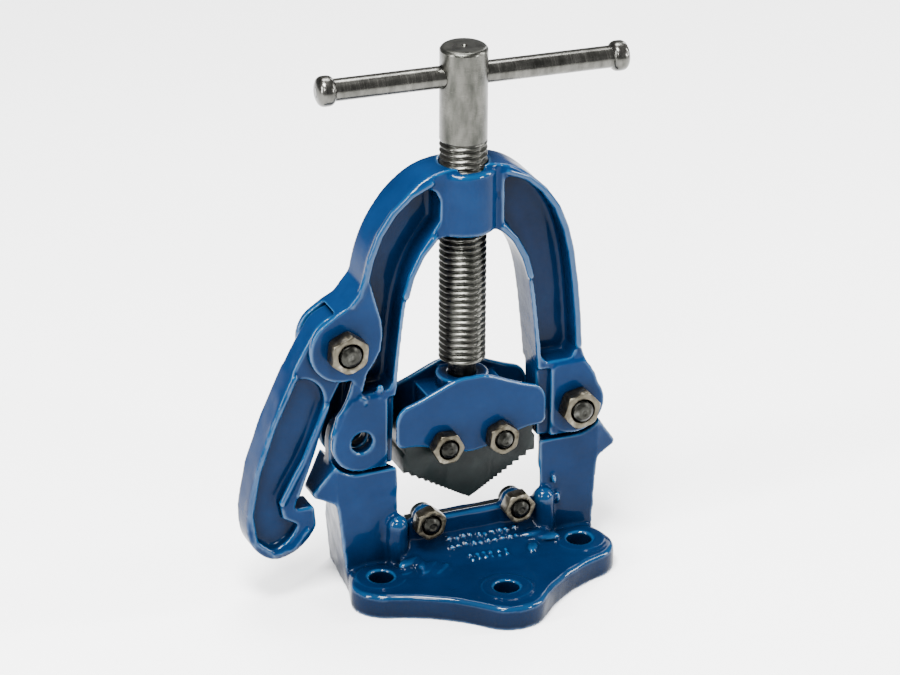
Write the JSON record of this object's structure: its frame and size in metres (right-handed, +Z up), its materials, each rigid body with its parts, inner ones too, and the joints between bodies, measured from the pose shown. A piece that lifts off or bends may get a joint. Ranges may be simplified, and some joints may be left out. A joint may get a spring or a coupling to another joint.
{
  "type": "hinged pipe vise",
  "caption": "Bench pipe vise: cast base with jaw, hinged yoke with latch hook, vertical screw with tommy bar pressing a toothed V jaw on the pipe.",
  "frame": {"origin": "on the screw axis, in the flat underside of the foot", "axes": "+Z up along the screw, +X right towards the yoke hinge, -Y to the front, where the nuts are"},
  "size_m": [0.1908, 0.0998, 0.2638],
  "materials": {
    "blue_enamel": "glossy enamel over sand-cast iron",
    "bright_steel": "bright turned steel",
    "fastener_steel": "zinc plated, slightly dulled",
    "jaw_steel": "hardened, oil-blackened tool steel"
  },
  "bodies": {
    "base": {"base_casting": "blue_enamel", "lower_jaw": "jaw_steel", "lower_jaw_stud_left": "fastener_steel", "lower_jaw_stud_right": "fastener_steel", "lower_jaw_nut_left": "fastener_steel", "lower_jaw_nut_right": "fastener_steel"},
    "yoke": {"yoke_casting": "blue_enamel", "hinge_bolt": "fastener_steel", "hinge_nut": "fastener_steel", "hook_bolt": "fastener_steel", "hook_nut": "fastener_steel"},
    "hook": {"latch_hook": "blue_enamel"},
    "carrier": {"jaw_carrier": "blue_enamel", "upper_jaw": "jaw_steel", "thrust_pad": "jaw_steel", "upper_jaw_bolt_left": "fastener_steel", "upper_jaw_bolt_right": "fastener_steel", "upper_jaw_nut_left": "fastener_steel", "upper_jaw_nut_right": "fastener_steel", "screw_retaining_pin_left": "fastener_steel", "screw_retaining_pin_right": "fastener_steel"},
    "screw": {"main_screw": "bright_steel"},
    "bar": {"tommy_bar": "bright_steel", "tommy_ball_left": "bright_steel", "tommy_ball_right": "bright_steel"}
  },
  "joints": [
    {"name": "yoke_open", "type": "hinge", "parent": "base", "child": "yoke", "pos_m": [0.0545, 0, 0.077], "axis": [0, 1, 0], "range_deg": [0, 88]},
    {"name": "hook_swing", "type": "hinge", "parent": "yoke", "child": "hook", "pos_m": [-0.063, 0, 0.127], "axis": [0, 1, 0], "range_deg": [-5, 60]},
    {"name": "jaw_travel", "type": "slide", "parent": "yoke", "child": "carrier", "axis": [0, 0, 1], "range_m": [-0.0058, 0.042]},
    {"name": "screw_turn", "type": "hinge", "parent": "carrier", "child": "screw", "pos_m": [0, 0, 0.12], "axis": [0, 0, 1], "range_deg": [-697, 5041]},
    {"name": "bar_slide", "type": "slide", "parent": "screw", "child": "bar", "axis": [0.9978, -0.0663, 0], "range_m": [-0.0585, 0.0495]}
  ],
  "couplings": [
    {"joint": "screw_turn", "follows": "jaw_travel", "rad_per_m": 2094.4}
  ]
}
